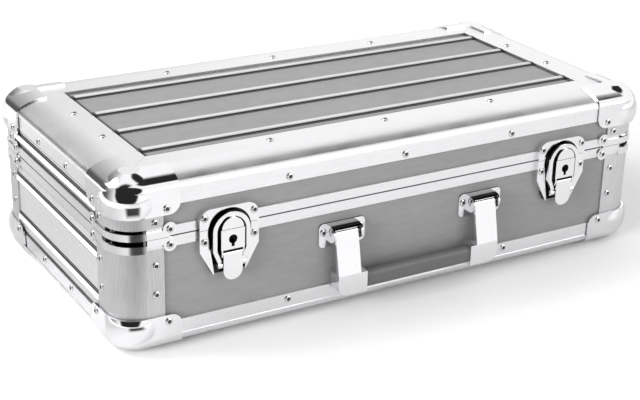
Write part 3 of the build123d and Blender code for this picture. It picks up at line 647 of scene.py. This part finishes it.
# Floor, and the wedges of it that reflections see dark, as black cards would show in a studio:
# a wedge opens from its corner, with the cosines of its rim and core, between a near and a far limit
floor_size = 14
floor_gap = 0.0002
floor_tone = 0.86
mirrored_floor_tone = 0.62
left_card = {
    "corner": (-0.22, -0.1, 0),
    "direction": (-0.25, -0.97, 0),
    "spread": (0.86, 0.95),
    "tone": 0.02,
}
end_card = {
    "corner": (-0.2, 0.0, 0),
    "direction": (-0.97, 0.24, 0),
    "spread": (0.2, 0.8),
    "tone": 0.36,
}
card_near_limit = (0.09, 0.15)
card_far_limit = (0.46, 0.38)


def toward(tree, vector, direction):
    """How nearly a unit vector points in a direction, 1 being straight along it."""
    return measure_node(tree, "DOT_PRODUCT", vector, Vector(direction).normalized())


def card_tone(tree, place, corner, direction, spread, tone):
    """Tone of the mirrored floor with one card on it."""
    away = vector_node(tree, "SUBTRACT", place, corner)
    along = toward(tree, vector_node(tree, "NORMALIZE", away), direction)
    result = map_range(tree, along, spread, (mirrored_floor_tone, tone))
    distance = measure_node(tree, "LENGTH", away)
    for limit in (card_near_limit, card_far_limit):
        beyond = map_range(tree, distance, limit, (mirrored_floor_tone, 0))
        result = math_node(tree, "MAXIMUM", result, beyond)
    return result


def is_mirrored(tree):
    """1 for what a shiny face mirrors, and 0 for what is seen or gives light directly."""
    return tree.nodes.new("ShaderNodeLightPath").outputs["Is Glossy Ray"]


def floor(cards):
    """Plain pale floor that shows darker in the plating."""
    bpy.ops.mesh.primitive_plane_add(size=floor_size, location=(0, 0, -floor_gap))
    plane = bpy.context.object
    plane.name = "floor"
    plain = (floor_tone, floor_tone, floor_tone)
    mat = new_material("floor_white", plain, metallic=0.0, roughness=0.6)
    tree = mat.node_tree
    place = tree.nodes.new("ShaderNodeTexCoord").outputs["Object"]
    mirrored = least(tree, [card_tone(tree, place, **card) for card in cards])
    shown = mix_node(tree, "RGBA", is_mirrored(tree), (*plain, 1), mirrored)
    tree.links.new(shown, shader_input(mat, "Base Color"))
    plane.data.materials.append(mat)


floor((left_card, end_card))

# Surround, brighter in reflections, with patches that they see dark:
# each has a direction, the cosines of its rim and core, and a level
surround_strength = 1.05
mirrored_gain = 1.22
front_dark = ((-0.5, -0.7, 0.5), (0.7, 0.78), 0.02)
ceiling_dark = ((0.45, 0.05, 0.89), (0.94, 0.97), 0.02)
far_left_grey = ((-0.6, 0.8, 0.0), (0.4, 0.92), 0.1)


def studio_world(patches):
    """Even surround that lights the case from all sides."""
    world = bpy.data.worlds.new("studio")
    scene.world = world
    world.use_nodes = True
    tree = world.node_tree
    tree.nodes.clear()
    view = tree.nodes.new("ShaderNodeTexCoord").outputs["Generated"]
    mirrored = mirrored_gain
    for direction, spread, level in patches:
        patch = map_range(tree, toward(tree, view, direction), spread, (1, level))
        mirrored = math_node(tree, "MULTIPLY", patch, mirrored)
    gain = mix_node(tree, "FLOAT", is_mirrored(tree), 1, mirrored)
    strength = math_node(tree, "MULTIPLY", gain, surround_strength)
    background = tree.nodes.new("ShaderNodeBackground")
    output = tree.nodes.new("ShaderNodeOutputWorld")
    tree.links.new(strength, background.inputs["Strength"])
    tree.links.new(background.outputs["Background"], output.inputs["Surface"])


studio_world((front_dark, ceiling_dark, far_left_grey))


# Lights
def area_light(name, place, target, size, power):
    """Soft rectangular light aimed at a point."""
    data = bpy.data.lights.new(name, "AREA")
    data.shape = "RECTANGLE"
    data.size, data.size_y = size
    data.energy = power
    obj = bpy.data.objects.new(name, data)
    scene.collection.objects.link(obj)
    obj.location = place
    obj.rotation_mode = "QUATERNION"
    obj.rotation_quaternion = (Vector(target) - Vector(place)).to_track_quat("-Z", "Y")
    return obj


area_light("key", place=(-1.6, 0.9, 1.7), target=(0, 0, 0.05), size=(1.2, 1.0), power=40)
left_place, left_target = (-2.2, -0.7, 0.7), (-0.1, 0, 0.06)
left_fill = area_light("left_fill", left_place, left_target, size=(1.2, 0.9), power=58)
left_fill.visible_glossy = False
area_light("front_fill", place=(1.1, -2.2, 0.8), target=(0, 0, 0.06), size=(1.6, 0.9), power=12)

# View of the photograph: its width and focal length in pixels, angles in radians, the rest in metres
photo_width = 640
focal_pixels = 1437.71
azimuth = math.radians(-30.837)
elevation = math.radians(22.729)
roll = math.radians(1.436)
view_target = Vector((-0.0055, 0.0, 0.0401))
view_distance = 1.277
sensor_millimetres = 36


def photo_camera():
    """Camera at the photograph's angle."""
    flat = math.cos(elevation)
    back = Vector((math.sin(azimuth) * flat, -math.cos(azimuth) * flat, math.sin(elevation)))
    level = (-back).cross(Vector((0, 0, 1))).normalized()
    upright = level.cross(-back)
    right = level * math.cos(roll) + upright * math.sin(roll)
    up = upright * math.cos(roll) - level * math.sin(roll)
    data = bpy.data.cameras.new("photo_camera")
    data.sensor_width = sensor_millimetres
    data.lens = sensor_millimetres * focal_pixels / photo_width
    data.clip_start, data.clip_end = 0.01, 50
    obj = bpy.data.objects.new("photo_camera", data)
    scene.collection.objects.link(obj)
    obj.rotation_mode = "QUATERNION"
    obj.rotation_quaternion = Matrix((right, up, back)).transposed().to_quaternion()
    obj.location = view_target + back * view_distance
    scene.camera = obj


photo_camera()
